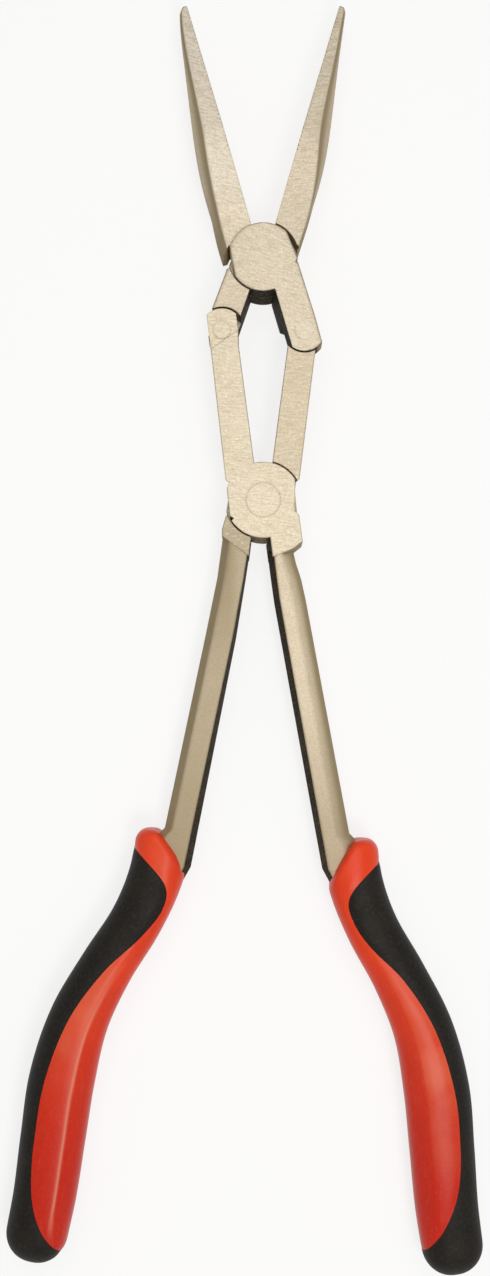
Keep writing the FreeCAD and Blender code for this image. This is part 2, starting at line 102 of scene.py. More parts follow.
class Coat:
    # one node tree, and the one way that nodes are put into it
    def __init__(self, tree):
        self.tree = tree

    def fill(self, node, sockets):
        # a link or a value for each socket
        for key, value in sockets.items():
            if isinstance(value, Wire):
                self.tree.links.new(value.socket, node.inputs[key])
            else:
                node.inputs[key].default_value = value

    def node(self, kind, settings=None, sockets=None, give=0):
        # settings go in first, and give picks the output
        made = self.tree.nodes.new(kind)
        for key, value in (settings or {}).items():
            if key == "stops":
                for stop in range(len(value) - 2):
                    made.color_ramp.elements.new(0.5)
                for element, (place, colour) in zip(made.color_ramp.elements, value):
                    element.position = place
                    element.color = colour
            else:
                setattr(made, key, value)
        self.fill(made, sockets or {})
        return Wire(self, made.outputs[give])

    def noise(self, place, scale=1.0, detail=3.0, roughness=0.5):
        values = {"Vector": place, "Scale": scale, "Detail": detail, "Roughness": roughness}
        return self.node("ShaderNodeTexNoise", None, values)

    def ease(self, value, low, high, start=0.0, end=1.0):
        # from start to end while the value goes from low to high
        values = {"Value": value, 1: low, 2: high, 3: start, 4: end}
        return self.node("ShaderNodeMapRange", {"interpolation_type": "SMOOTHSTEP"}, values)

    def band(self, value, start, whole, fade, gone):
        # rises from start to whole, and falls again from fade to gone
        return self.ease(value, start, whole) * self.ease(value, fade, gone, 1.0, 0.0)

    def mix(self, factor, first, second):
        # two colours, the second one by the factor
        values = {"Factor": factor, 6: first, 7: second}
        return self.node("ShaderNodeMix", {"data_type": "RGBA"}, values, 2)

    def split(self, vector, axis):
        # axis 0 is across the tool, 1 along it and 2 up
        return self.node("ShaderNodeSeparateXYZ", None, {0: vector}, axis)

    def place(self, turn=0.0, stretch=(1.0, 1.0, 1.0)):
        # Object coordinates in mm, turned by degrees and stretched
        spot = self.node("ShaderNodeTexCoord", None, None, "Object")
        scale = tuple(s / mm for s in stretch)
        rotation = (0, 0, math.radians(turn))
        turned = self.node("ShaderNodeMapping", None, {"Vector": spot, "Rotation": rotation})
        return self.node("ShaderNodeMapping", None, {"Vector": turned, "Scale": scale})


def tone(red, green, blue):
    # a colour as a screen shows it, 0 to 255, made linear
    shares = [c / 255 for c in (red, green, blue)]
    return tuple(s / 12.92 if s < 0.04 else ((s + 0.055) / 1.055) ** 2.4 for s in shares) + (1.0,)


def newMaterial(name):
    material = bpy.data.materials.new(name)
    material.use_nodes = True
    shader = next(n for n in material.node_tree.nodes if n.type == "BSDF_PRINCIPLED")
    return material, Coat(material.node_tree), shader


# Facing is 0 on an upright wall and 1 on a level face, outward is 1 on a wall that looks away from the
# tool's middle line and -1 on one that looks at it, high is mm off the middle of the steel's thickness,
# and rise is mm up the tool from its main rivet.
grinding = {                               # marks on ground steel
    "streaks": (1 / 2.6, 1 / 0.34, 0.5),   # how many to a mm: along the grain, across it and in depth
    "streaksSeen": (0.62, 0.34),           # levels of the noise where a mark starts and where it is whole
    "streaksShare": 0.27,
    "specks": 1 / 0.42,
    "specksSeen": (0.60, 0.36),
    "specksShare": 0.22,
    "specksHeight": 0.6,
    "patches": (0.09, 0.20, 0.10),
    "patchesSeen": (0.35, 0.75),
    "patchesShare": 0.07,
    "flecks": (1.3, 3.0, 1.0),
    "flecksSeen": (0.60, 0.74),
    "flecksShare": 0.55,
    "dirt": tone(150, 133, 102),
    "fleck": tone(255, 250, 236),
    "depth": 0.006,                        # mm
    "strength": 0.5,
}
shankLook = {                              # the forged shanks below the ground plates
    "stops": (0.0, 0.50, 0.64, 0.90),      # facing where they are brown, still brown, turning and lit: painted shade and highlight by how the surface faces
    "crownLow": (1.3, 3.4),                # high where their round side stops being brown
    "crownFacing": (0.40, 0.55),
    "fade": (-85.0, -30.0),                # rise over which they get duller, down to the grips
    "fadeShare": 0.62,
    "dipShade": (4.45, 4.80),                # high in the dip by the plate, whose shade is painted brown
    "dipShadeFacing": (0.6, 0.9),
    "dipShadeAside": (4.5, 8.0),             # mm from the tool's middle line
    "dipShadeShare": 0.75,
    "innerFacing": (0.34, 0.42),           # where the black inner wall, forged skin and painted shade, ends
}
flankLook = {                              # a jaw's side, in mm along the needle from the jaws' pivot
    "taper": (26.0, 60.0),                 # it gets thinner between these
    "taperHalf": (5.1, 1.2),               # from and to these half thicknesses
    "bandHigh": (0.40, 0.85),              # shares of them where the painted light band turns to painted brown shade
    "brownStart": (-2.0, 2.0),             # forged wall below, brown above
    "bandStart": (4.0, 22.0),
    "needleStart": (6.0, 20.0),            # the ground face takes the needle's tone
    "faceFacing": (0.66, 0.985),
    "plateFacing": (0.5, 0.95),            # and this is where it counts as ground
}
steelLook = {
    "black": tone(17, 15, 10),             # forged walls, never ground, and painted near-black as the shade between the parts
    "brown": tone(160, 144, 113),
    "band": tone(210, 195, 170),           # lower part of a jaw's side, painted lighter as the light on the flatter part of a hollow bevel
    "seat": tone(190, 175, 146),           # turned walls of the main joint
    "soften": 0.25,                        # mm, rounding of ground edges, for the light only
    "plateHigh": (4.86, 4.94),             # a handle is ground plate above these
    "plateRise": (-9.0, -6.0),             # and everywhere further up than these
    "outerTurn": (0.0, 0.12),              # outward where the softer forged edges begin
    "brownTurn": (0.55, 0.70),             # and where a wall turns from black to brown: walls facing the tool's middle get the darker painted shade
    "innerTurn": (-0.3, -0.1),             # below these it is an inner wall
    "lowRise": (-7.0, 3.0),                # a plate goes from its low tone to its ground one; the rear handle's low tone is painted shade
    "seatRise": (1.0, 3.0, 7.5, 9.5),
    "flatFacing": (0.35, 0.97),            # from a wall's tone to the plate's: painted shade by how the surface faces
    "groundFacing": (0.90, 0.99),          # grinding marks come out
    "metalFacing": (0.35, 0.95),
    "metal": 0.5,
    "metalGround": 0.1,                    # more than that where it is ground
    "rough": 0.60,
    "roughGround": 0.14,                   # less than that where it is ground
    "roughSpecks": 0.12,
    "gloss": 0.06,                         # of what is not bare metal
}
steelPieces = {                            # grain in degrees, side 1 to the right of the pivots, else -1
    "handle_front": {"grain": 4.0, "ground": tone(226, 215, 193), "low": tone(226, 215, 193), "side": 1,
                     "crown": tone(234, 220, 196), "turn": tone(222, 207, 177), "soften": 1.8},
    # The rear handle's tones are a painted-shade copy of the front handle's, darker as less light falls on
    # the left.
    "handle_rear": {"grain": -3.0, "ground": tone(214, 201, 178), "low": tone(184, 171, 148), "side": -1,
                    "crown": tone(196, 182, 156), "turn": tone(170, 155, 126), "soften": 1.0},
    "jaw_front": {"grain": 17.0, "ground": tone(223, 212, 191), "needle": tone(238, 228, 211), "side": -1,
                  "soften": 0.9},
    "jaw_rear": {"grain": -6.0, "ground": tone(218, 206, 185), "needle": tone(226, 214, 193), "side": 1,
                 "soften": 0.9},
}


def grained(coat, colour, grain, share):
    # brushed streaks, dark specks and a few bright flecks laid over a colour
    look = grinding
    streaks = coat.noise(coat.place(grain, look["streaks"]), roughness=0.6)
    specks = coat.noise(coat.place(), look["specks"], roughness=0.65)
    flecks = coat.noise(coat.place(grain, look["flecks"]), detail=2.0)
    patches = coat.noise(coat.place(grain, look["patches"]))
    dark = share * look["streaksShare"] * coat.ease(streaks, *look["streaksSeen"])
    dark = dark + coat.ease(specks, *look["specksSeen"]) * look["specksShare"]
    dark = dark + coat.ease(patches, *look["patchesSeen"]) * look["patchesShare"]
    colour = coat.mix(dark, colour, look["dirt"])
    bright = share * look["flecksShare"] * coat.ease(flecks, *look["flecksSeen"])
    colour = coat.mix(bright, colour, look["fleck"])
    return colour, share * streaks + specks * look["specksHeight"], specks


def shankSkin(coat, piece, facing, high, inner):
    # black inner wall, brown outer wall and bevel, tan face or lit crown: shade and highlight painted by
    # how the surface faces, with painted shade in the dip by the plate
    look = shankLook
    brown = steelLook["brown"]
    stops = list(zip(look["stops"], (brown, brown, piece["turn"], piece["crown"])))
    skin = coat.node("ShaderNodeValToRGB", {"stops": stops}, {0: facing})
    under = (1 - coat.ease(high, *look["crownLow"])) * coat.ease(facing, *look["crownFacing"])
    skin = coat.mix(under, skin, brown)
    spot = coat.place()
    skin = coat.mix(coat.ease(coat.split(spot, 1), *look["fade"], look["fadeShare"], 0.0), skin, brown)
    aside = coat.ease(coat.split(spot, 0) * piece["side"], *look["dipShadeAside"])
    # painted shade in the steep dip below the plate
    dip = coat.ease(high, *look["dipShade"]) * coat.ease(facing, *look["dipShadeFacing"]) * aside
    skin = coat.mix(dip * look["dipShadeShare"], skin, brown)
    return coat.mix(inner * (1 - coat.ease(facing, *look["innerFacing"])), skin, steelLook["black"])


def flankSkin(coat, piece, facing, high, wall):
    # a jaw's ground face, a painted shade line along its soft edge, and the painted light band below, the
    # light and shade of a hollow bevel
    look = flankLook
    low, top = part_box("jaw_rivet")
    lean = math.radians(jawOpening * piece["side"])
    spot = coat.place()
    rise = coat.split(spot, 1) - (low + top).y / 2 / mm
    along = rise * math.cos(lean) + coat.split(spot, 0) * math.sin(lean)
    half = coat.ease(along, *look["taper"], *look["taperHalf"])
    band = coat.mix(coat.ease(along, *look["bandStart"]), steelLook["brown"], steelLook["band"])
    band = coat.mix(coat.ease(high.math("DIVIDE", half), *look["bandHigh"]), band, steelLook["brown"])
    band = coat.mix(coat.ease(along, *look["brownStart"]), wall, band)
    face = coat.mix(coat.ease(along, *look["needleStart"]), piece["ground"], piece["needle"])
    return coat.mix(coat.ease(facing, *look["faceFacing"]), band, face)


def steelFinish(name, piece):
    # ground faces with a grain, and forged walls between them, coloured darker the more they turn away from
    # level: painted shade
    look = steelLook
    material, coat, shader = newMaterial(name)
    spot = coat.place()
    high = (coat.split(spot, 2) - steelMiddle).math("ABSOLUTE")
    rise = coat.split(spot, 1)
    sharp = coat.node("ShaderNodeBevel", {"samples": 4}, {"Radius": look["soften"] * mm})
    forged = coat.node("ShaderNodeBevel", {"samples": 8}, {"Radius": piece["soften"] * mm})
    outward = coat.split(forged, 0) * coat.split(spot, 0).math("SIGN")
    outer = coat.ease(outward, *look["outerTurn"])
    if "crown" in piece:
        plate = coat.ease(high, *look["plateHigh"]).math("MAXIMUM", coat.ease(rise, *look["plateRise"]))
        outer = outer * (1 - plate)
    soft = coat.mix(outer, sharp, forged)
    facing = coat.split(soft, 2).math("ABSOLUTE")
    # painted shade: walls looking at the tool's middle go black, the others brown
    wall = coat.mix(coat.ease(outward, *look["brownTurn"]), look["black"], look["brown"])
    if "crown" in piece:
        inner = coat.ease(outward, *look["innerTurn"], 1.0, 0.0)
        ground = coat.mix(coat.ease(rise, *look["lowRise"]), piece["low"], piece["ground"])
        wall = coat.mix(coat.band(rise, *look["seatRise"]), wall, look["seat"])
        # painted shade: the colour turns from the wall's to the plate's by how the surface faces
        flat = coat.mix(coat.ease(facing, *look["flatFacing"]), wall, ground)
        colour = coat.mix(plate, shankSkin(coat, piece, facing, high, inner), flat)
    else:
        plate = coat.ease(facing, *flankLook["plateFacing"])
        colour = flankSkin(coat, piece, facing, high, wall)
    share = coat.ease(facing, *look["groundFacing"]) * plate
    colour, height, specks = grained(coat, colour, piece["grain"], share)
    depth = {"Strength": grinding["strength"], "Distance": grinding["depth"] * mm}
    bump = coat.node("ShaderNodeBump", None, {"Height": height, "Normal": soft, **depth})
    rough = look["rough"] - share * look["roughGround"] + specks * look["roughSpecks"]
    metal = coat.ease(facing, *look["metalFacing"]) * look["metal"] + share * look["metalGround"]
    coat.fill(shader, {"Base Color": colour, "Roughness": rough, "Metallic": metal, "Normal": bump,
                       "Specular IOR Level": look["gloss"]})
    return material


# A rivet's head is ground together with the plate round it. Its rim is clean at 0 and dirty at 1.
rivetLook = {
    "plates": {"main_rivet": "handle_front", "link_rivet_left": "handle_front",
               "jaw_rivet": "jaw_front", "link_rivet_right": "jaw_front"},
    "rims": {"main_rivet": 0.4, "link_rivet_left": 0.4, "jaw_rivet": 0.0, "link_rivet_right": 0.0},
    "rimWidth": 0.45,                      # mm
    "ground": 0.9,                         # how clean the heads are
    "turning": 9.0,                        # fine turning marks, in radians to a mm
    "turningHeight": 0.25,
    "rough": 0.46,
    "metal": 0.6,
}


def rivetFinish(name, piece, centre, radius, rim):
    # a peened head with its turning marks and its rim
    look = rivetLook
    material, coat, shader = newMaterial(name)
    spot = coat.place()
    dx = coat.split(spot, 0) - centre.x / mm
    dy = coat.split(spot, 1) - centre.y / mm
    away = (dx * dx + dy * dy).math("SQRT")
    colour, height, specks = grained(coat, piece["ground"], piece["grain"], look["ground"])
    edge = coat.ease(away, radius - look["rimWidth"], radius)
    colour = coat.mix(edge * rim, colour, grinding["dirt"])
    turning = (away * look["turning"]).math("SINE") * look["turningHeight"]
    depth = {"Strength": grinding["strength"], "Distance": grinding["depth"] * mm}
    bump = coat.node("ShaderNodeBump", None, {"Height": height + turning, **depth})
    rough = look["rough"] + specks * steelLook["roughSpecks"]
    coat.fill(shader, {"Base Color": colour, "Roughness": rough, "Metallic": look["metal"], "Normal": bump})
    return material


def dress(node, finish):
    slots = frame["nodes"][node].data.materials
    slots.clear()
    slots.append(finish)


for node, piece in steelPieces.items():
    dress(node, steelFinish("ground_" + node, piece))
for node, plate in rivetLook["plates"].items():
    low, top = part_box(node)
    radius = (top.x - low.x) / 2 / mm
    rim = rivetLook["rims"][node]
    dress(node, rivetFinish("peened_" + node, steelPieces[plate], (low + top) / 2, radius, rim))
print("steel finished")


gripShape = {                  # in mm, as all sizes here
    "height": 80.0,            # main rivet to collar
    "length": 90.6,
    "squareness": 2.4,         # of a section: 2 is an ellipse
    "sections": [              # share of the length, offset, lean in degrees, width, thickness
        (-0.080, 0.0, 2.0, 12.6, 12.4), (0.045, 0.3, 6.0, 12.1, 12.6), (0.156, 2.6, 19.0, 11.7, 12.4),
        (0.279, 7.0, 21.0, 12.0, 12.8), (0.413, 10.7, 11.0, 13.2, 13.6), (0.559, 11.9, 0.5, 14.4, 14.0),
        (0.704, 11.4, -3.5, 14.2, 13.8), (0.838, 10.8, -0.5, 13.8, 13.6), (0.933, 10.85, 1.0, 13.5, 13.2),
    ],
    "crease": (0.40, 0.75),    # shares of the half width where the belly side turns down
    "creaseDrop": 0.11,        # by this share of the thickness
    "creaseRun": (0.08, 0.30, 0.86, 0.95),   # shares of the length where it comes and goes
    "skin": 0.09,              # inside the plain solid
    "dip": 0.15,               # both pieces sink this far into their seam
    "dipWidth": 0.75,
    "seamGap": 0.04,           # from the sleeve to the pad
    "shoulder": 6.0,           # the collar's hump ends here, across
    "fall": 0.6,               # and is this much lower there
    "lipSoft": 0.55,           # how softly the lip's slopes join
    "lipRound": 1.9,           # radius of its rolled edge
    "mouth": (2.6, 1.7, 0.9, 0.3),   # rings inside the collar, this far inward of its rounded lip
    "collarEnd": 0.075,        # share of the length where the collar's slant has faded
    "buttClose": 0.93,         # how far the dome closes over the butt
    "buttRings": (0.5, 1.1, 1.7),    # rings on the butt's small flat, this far in
    "padEnd": 1.15,            # the pad's side of the seam reaches this share of the length
    "padOut": 2.2,             # and this many half widths
    "sharpAngle": 42,          # edges that are sharper stay hard
}
gripMesh = {
    "around": 112,             # points round a ring
    "step": 0.55,              # mm between rings
    "lipRings": 8,
    "collarRings": 22,
    "domeRings": 16,
    "seamPoints": 240,
    "seamSamples": 1500,       # places on the seam that the dip is measured from
    "backPoints": 12,          # behind the back, where the pad's side of the seam closes
    "merge": 0.004,            # mm, after the cut
    "sliver": 0.002,
}
# Offset, lean and drop place the start of a closed grip: mm off the tool's middle line, degrees, and mm
# further down. Crest and rise place the collar's hump, and slope is its oblique lip in degrees. A seam's
# points are shares of the length and of the half width, where 1 is the back and -1 the belly.
gripSides = {
    "right": {
        "body": "front_handle", "offset": 8.9, "lean": 0.0, "drop": 0.4,
        "crest": 1.6, "rise": 5.4, "slope": 50.0,
        "seam": [(-0.01, 1.4), (0.02, 0.55), (0.068, -0.38), (0.115, -0.55), (0.18, -0.40), (0.285, 0.08),
                 (0.415, 0.33), (0.64, 0.48), (0.785, 0.32), (0.875, -0.25), (0.965, -1.4)],
    },
    "left": {
        "body": "rear_handle", "offset": 12.1, "lean": 3.5, "drop": -0.4,
        "crest": 2.1, "rise": 6.3, "slope": 42.0,
        "seam": [(-0.03, 1.4), (0.002, 0.55), (0.05, -0.44), (0.10, -0.68), (0.167, -0.48), (0.285, 0.02),
                 (0.43, 0.30), (0.65, 0.46), (0.82, 0.34), (0.91, -0.2), (0.99, -1.4)],
    },
}


def clamped(value):
    return max(0.0, min(1.0, value))


def rowAt(rows, share):
    # values eased between rows, whose first value is where they stand
    last = len(rows) - 1
    i = max(0, min(last - 1, sum(row[0] <= share for row in rows) - 1))
    low, high = rows[i], rows[i + 1]
    before, after = rows[max(i - 1, 0)], rows[min(i + 2, last)]
    span = high[0] - low[0]
    part = clamped((share - low[0]) / span)
    values = []
    for column in range(1, len(low)):
        leave = (high[column] - before[column]) / (high[0] - before[0]) * span
        arrive = (after[column] - low[column]) / (after[0] - low[0]) * span
        rise = high[column] - low[column]
        bend = 3 * rise - 2 * leave - arrive
        values.append(low[column] + part * (leave + part * (bend + part * (leave + arrive - 2 * rise))))
    return values


def squared(share):
    # a share of the half width, pushed out from an ellipse
    return math.copysign(abs(share) ** (2 / gripShape["squareness"]), share)


def outlinePoint(share, angle, inset=0.0):
    # a point of the grip's outside: across it and up
    width, depth = rowAt(gripShape["sections"], share)[2:]
    last = gripShape["sections"][-1][0]
    dome = max(0.0, (share - last) / (1 - last))
    shrink = math.sqrt(1 - (gripShape["buttClose"] * dome) ** 2)
    side = squared(math.cos(angle))
    start, full = gripShape["crease"]
    begin, whole, fade, end = gripShape["creaseRun"]
    turned = clamped((-side - start) / (full - start))
    run = clamped(min((share - begin) / (whole - begin), (end - share) / (end - fade)))
    depth = depth * (1 - gripShape["creaseDrop"] * turned * run)
    return side * (width / 2 * shrink - inset), squared(math.sin(angle)) * (depth / 2 * shrink - inset)


def collarHeight(side, across):
    # the collar's lip over the grip's start: its slant, its hump and the hump's outer side, softly joined
    fall, shoulder, soft = gripShape["fall"], gripShape["shoulder"], gripShape["lipSoft"]
    slopes = [
        side["rise"] - (side["crest"] - across) * math.tan(math.radians(side["slope"])),
        side["rise"] - (across - side["crest"]) * fall / (shoulder - side["crest"]),
        side["rise"] - fall - (across - shoulder),
    ]
    return -soft * math.log(sum(math.exp(-slope / soft) for slope in slopes))


def gripPoint(side, share, across, up):
    # from the grip's own measures to the closed handle
    offset, lean = rowAt(gripShape["sections"], share)[:2]
    line = math.radians(-90 + side["lean"])
    along = Vector((math.cos(line), math.sin(line), 0))
    beside = Vector((-along.y, along.x, 0))
    lean = line + math.pi / 2 + math.radians(lean)
    centre = Vector((side["offset"], -gripShape["height"] - side["drop"], steelMiddle))
    centre = centre + along * (share * gripShape["length"]) + beside * offset
    return centre + Vector((math.cos(lean), math.sin(lean), 0)) * across + Vector((0, 0, up))


def sidePlacing(name):
    # from the closed handle to its place in the open pliers, in metres
    opening = math.radians(handleOpening)
    if name == "right":
        return Matrix.Scale(mm, 4) @ Matrix.Rotation(opening, 4, "Z")
    middle = Vector((0, 0, steelMiddle))
    turnedOver = Matrix.Translation(middle) @ Matrix.Rotation(math.pi, 4, "Y") @ Matrix.Translation(-middle)
    return Matrix.Scale(mm, 4) @ Matrix.Rotation(-opening, 4, "Z") @ turnedOver


def rolledSeam(side):
    # the seam rolled out flat: along the grip, and round it from the back
    rows = side["seam"]
    count = gripMesh["seamSamples"]
    tree = kdtree.KDTree(2 * count)
    for i in range(count):
        share = rows[0][0] + (rows[-1][0] - rows[0][0]) * i / (count - 1)
        across = rowAt(rows, share)[0]
        if abs(across) < 1:
            angle = math.acos(math.copysign(abs(across) ** (gripShape["squareness"] / 2), across))
            reach = angle * rowAt(gripShape["sections"], share)[2] / 2
            for sign in (1, -1):
                tree.insert(Vector((share * gripShape["length"], sign * reach, 0)), i)
    tree.balance()
    return tree


def seamDip(seam, share, angle):
    # how far the outside sinks toward the rolled seam
    width = rowAt(gripShape["sections"], share)[2]
    turned = (angle + math.pi) % (2 * math.pi) - math.pi
    away = seam.find(Vector((share * gripShape["length"], turned * width / 2, 0)))[2]
    return gripShape["dip"] * math.exp(-(away / gripShape["dipWidth"]) ** 2)


def gripRing(side, share, lift=0.0, drop=0.0, inset=0.0):
    # a ring round the grip, lifted by a part of the way up to the collar's lip, less the drop
    offset = rowAt(gripShape["sections"], share)[0]
    ring = []
    for i in range(gripMesh["around"]):
        angle = 2 * math.pi * i / gripMesh["around"]
        here = share
        if lift:
            lip = collarHeight(side, offset + outlinePoint(share, angle, inset)[0])
            here = share + (-(lip - drop) / gripShape["length"] - share) * lift
        sunk = inset + gripShape["skin"] + seamDip(side["rolled"], here, angle)
        ring.append(gripPoint(side, here, *outlinePoint(here, angle, sunk)))
    return ring


def gripRings(side):
    # from inside the collar's rolled lip to the dome of the butt
    low, roll = gripShape["collarEnd"], gripShape["lipRound"]
    rings = [gripRing(side, low, 1.0, 0.0, roll + inset) for inset in gripShape["mouth"]]
    for i in range(gripMesh["lipRings"] + 1):
        turn = math.pi / 2 * i / gripMesh["lipRings"]
        rings.append(gripRing(side, low, 1.0, roll * (1 - math.cos(turn)), roll * (1 - math.sin(turn))))
    count = gripMesh["collarRings"]
    rings += [gripRing(side, low, 1 - i / count, roll * (1 - i / count)) for i in range(1, count)]
    last = gripShape["sections"][-1][0]
    steps = int((last - low) * gripShape["length"] / gripMesh["step"])
    rings += [gripRing(side, low + (last - low) * i / steps) for i in range(steps)]
    domed = gripMesh["domeRings"]
    turns = [math.pi / 2 * i / domed for i in range(domed + 1)]
    rings += [gripRing(side, last + (1 - last) * math.sin(turn)) for turn in turns]
    rings += [gripRing(side, 1.0, inset=inset) for inset in gripShape["buttRings"]]
    return rings


def newest(grown, kind):
    return [item for item in grown["geom"] if isinstance(item, kind)]


def loft(rings):
    # a skin over rings of points, closed at both ends
    made = bmesh.new()
    ring = bmesh.ops.create_circle(made, radius=1.0, segments=len(rings[0]))["verts"]
    for vert, point in zip(ring, rings[0]):
        vert.co = point
    edges = made.edges[:]
    bmesh.ops.contextual_create(made, geom=edges)
    for points in rings[1:]:
        order = {vert: i for i, vert in enumerate(ring)}
        grown = bmesh.ops.extrude_edge_only(made, edges=edges)
        edges = newest(grown, bmesh.types.BMEdge)
        ring = [None] * len(points)
        for vert in newest(grown, bmesh.types.BMVert):
            source = next(e.other_vert(vert) for e in vert.link_edges if e.other_vert(vert) in order)
            ring[order[source]] = vert
        for vert, point in zip(ring, points):
            vert.co = point
    bmesh.ops.contextual_create(made, geom=edges)
    bmesh.ops.recalc_face_normals(made, faces=made.faces)
    return made


def padSpace(side, gap):
    # all that lies on the pad's side of the seam, a gap away from it
    rows, sections = side["seam"], gripShape["sections"]
    first, last = rows[0][0], rows[-1][0]
    count, back = gripMesh["seamPoints"], gripMesh["backPoints"]
    floor = -2 * steelMiddle
    outline = []
    for i in range(count + 1):
        share = first + (last - first) * i / count
        half = rowAt(sections, share)[2] / 2
        outline.append(gripPoint(side, share, rowAt(rows, share)[0] * half + gap, floor))
    end, out = gripShape["padEnd"], gripShape["padOut"]
    beyond = [(end, rows[-1][1]), (end, out)] + [(1.0 - i / back, out) for i in range(back + 1)]
    for share, across in beyond:
        outline.append(gripPoint(side, share, across * sections[0][3] / 2, floor))
    made = bmesh.new()
    ring = bmesh.ops.create_circle(made, radius=1.0, segments=len(outline), cap_ends=True)["verts"]
    for vert, point in zip(ring, outline):
        vert.co = point
    grown = bmesh.ops.extrude_face_region(made, geom=made.faces[:])
    bmesh.ops.translate(made, verts=newest(grown, bmesh.types.BMVert), vec=(0, 0, 4 * steelMiddle))
    bmesh.ops.recalc_face_normals(made, faces=made.faces)
    return made


def newObject(name, made):
    mesh = bpy.data.meshes.new(name)
    made.to_mesh(mesh)
    made.free()
    thing = bpy.data.objects.new(name, mesh)
    bpy.context.scene.collection.objects.link(thing)
    return thing


def splitGrip(side, operation, gap):
    # the pad's or the sleeve's share of the whole grip
    whole = newObject("whole", loft(gripRings(side)))
    space = newObject("space", padSpace(side, gap))
    cut = whole.modifiers.new("cut", "BOOLEAN")
    cut.operation = operation
    cut.solver = "EXACT"
    cut.object = space
    bpy.context.view_layer.update()
    view = bpy.context.evaluated_depsgraph_get()
    cutMesh = bpy.data.meshes.new_from_object(whole.evaluated_get(view))
    made = bmesh.new()
    made.from_mesh(cutMesh)
    for done in (whole, space):
        bpy.data.objects.remove(done)
    bmesh.ops.remove_doubles(made, verts=made.verts, dist=gripMesh["merge"])
    bmesh.ops.dissolve_degenerate(made, dist=gripMesh["sliver"], edges=made.edges)
    return made


def finishedPiece(name, made, placing):
    made.transform(placing)
    piece = newObject(name, made)
    piece.data.shade_smooth()
    piece.data.set_sharp_from_angle(angle=math.radians(gripShape["sharpAngle"]))
    return piece


sleeveLook = {                               # red plastic, lengths in mm, noise scales to a mm
    "high": tone(236, 68, 30),               # by the collar
    "low": tone(200, 37, 17),                # by the butt
    "between": (-150.0, -85.0),              # place along the tool over which the red darkens toward the butt: painted light falling off down the grip
    "deep": tone(190, 42, 24),
    "clouds": 0.11,
    "cloudsSeen": (0.3, 0.8),
    "cloudsShare": 0.25,
    "worn": tone(232, 112, 84),
    "scuffs": 1.2,
    "scuffsStretch": (1.0, 0.25, 1.0),
    "scuffsSeen": (0.5, 0.8),
    "scuffsShare": 0.18,
    "dust": 1 / 0.6,
    "dustSeen": (0.45, 0.70),
    "dustShare": 0.08,
    "paintedSheen": tone(230, 118, 84),            # painted sheen: a pale patch where light shines off the grip
    "sheenRun": (-150.0, -126.0, -106.0, -84.0),
    "sheenStep": 18.0,                        # the left grip's painted sheen and crease highlight lie this much nearer the collar
    "sheenHigh": (9.0, 13.0),                 # up from the rear face of the steel
    "sheenPatches": 0.08,
    "sheenSeen": (0.2, 0.6),
    "sheenInner": 0.2,                        # what is left of it on the inner side
    "sheenShare": 0.62,
    "crease": tone(250, 190, 160),           # painted highlight along the left grip's crease
    "creaseHighlightTurn": (0.15, 0.45, 0.46, 0.57),  # how far it faces inward there
    "creaseRun": (-178.0, -168.0, -138.0, -112.0),   # counted with that step
    "creaseHighlightShare": 0.40,
    "grain": 1 / 0.32,
    "depth": 0.02,
    "strength": 0.35,
    "scuffsHeight": 0.6,
    "rough": 0.28,
    "roughGrain": 0.10,
    "roughScuffs": 0.08,
    "gloss": 0.20,
}


def sleeveFinish(name):
    # soft red plastic, slightly glossy, with a fine moulded grain
    look = sleeveLook
    material, coat, shader = newMaterial(name)
    spot = coat.place()
    across, along = coat.split(spot, 0), coat.split(spot, 1)
    grain = coat.noise(spot, look["grain"], detail=2.0)
    clouds = coat.noise(spot, look["clouds"], detail=4.0)
    scuffs = coat.noise(coat.place(0, look["scuffsStretch"]), look["scuffs"], detail=5.0, roughness=0.7)
    dust = coat.ease(coat.noise(spot, look["dust"], roughness=0.65), *look["dustSeen"])
    # painted light: the red is lighter by the collar and darker toward the butt
    colour = coat.mix(coat.ease(along, *look["between"]), look["low"], look["high"])
    colour = coat.mix(coat.ease(clouds, *look["cloudsSeen"]) * look["cloudsShare"], colour, look["deep"])
    marks = coat.ease(scuffs, *look["scuffsSeen"]) * look["scuffsShare"] + dust * look["dustShare"]
    colour = coat.mix(marks, colour, look["worn"])

    left = coat.ease(across, -1.0, 1.0, 1.0, 0.0)
    inward = coat.split(coat.node("ShaderNodeTexCoord", give="Normal"), 0) * across.math("SIGN") * -1
    along = along - left * look["sheenStep"]
    start, whole, fade, gone = look["creaseHighlightTurn"]
    # painted sheen: a pale patch high on the grips, fading on their inner sides
    paintedSheen = coat.band(along, *look["sheenRun"]) * coat.ease(coat.split(spot, 2), *look["sheenHigh"])
    paintedSheen = paintedSheen * coat.ease(coat.noise(spot, look["sheenPatches"]), *look["sheenSeen"])
    paintedSheen = paintedSheen * coat.ease(inward, start, gone, 1.0, look["sheenInner"])
    colour = coat.mix(paintedSheen * look["sheenShare"], colour, look["paintedSheen"])
    # painted highlight: a thin pale line along the left grip's crease
    edge = coat.band(inward, start, whole, fade, gone) * coat.band(along, *look["creaseRun"]) * left
    colour = coat.mix(edge * look["creaseHighlightShare"], colour, look["crease"])

    height = grain + scuffs * look["scuffsHeight"]
    depth = {"Strength": look["strength"], "Distance": look["depth"] * mm}
    bump = coat.node("ShaderNodeBump", None, {"Height": height, **depth})
    rough = look["rough"] + grain * look["roughGrain"] + scuffs * look["roughScuffs"]
    coat.fill(shader, {"Base Color": colour, "Roughness": rough, "Normal": bump,
                       "Specular IOR Level": look["gloss"]})
    return material


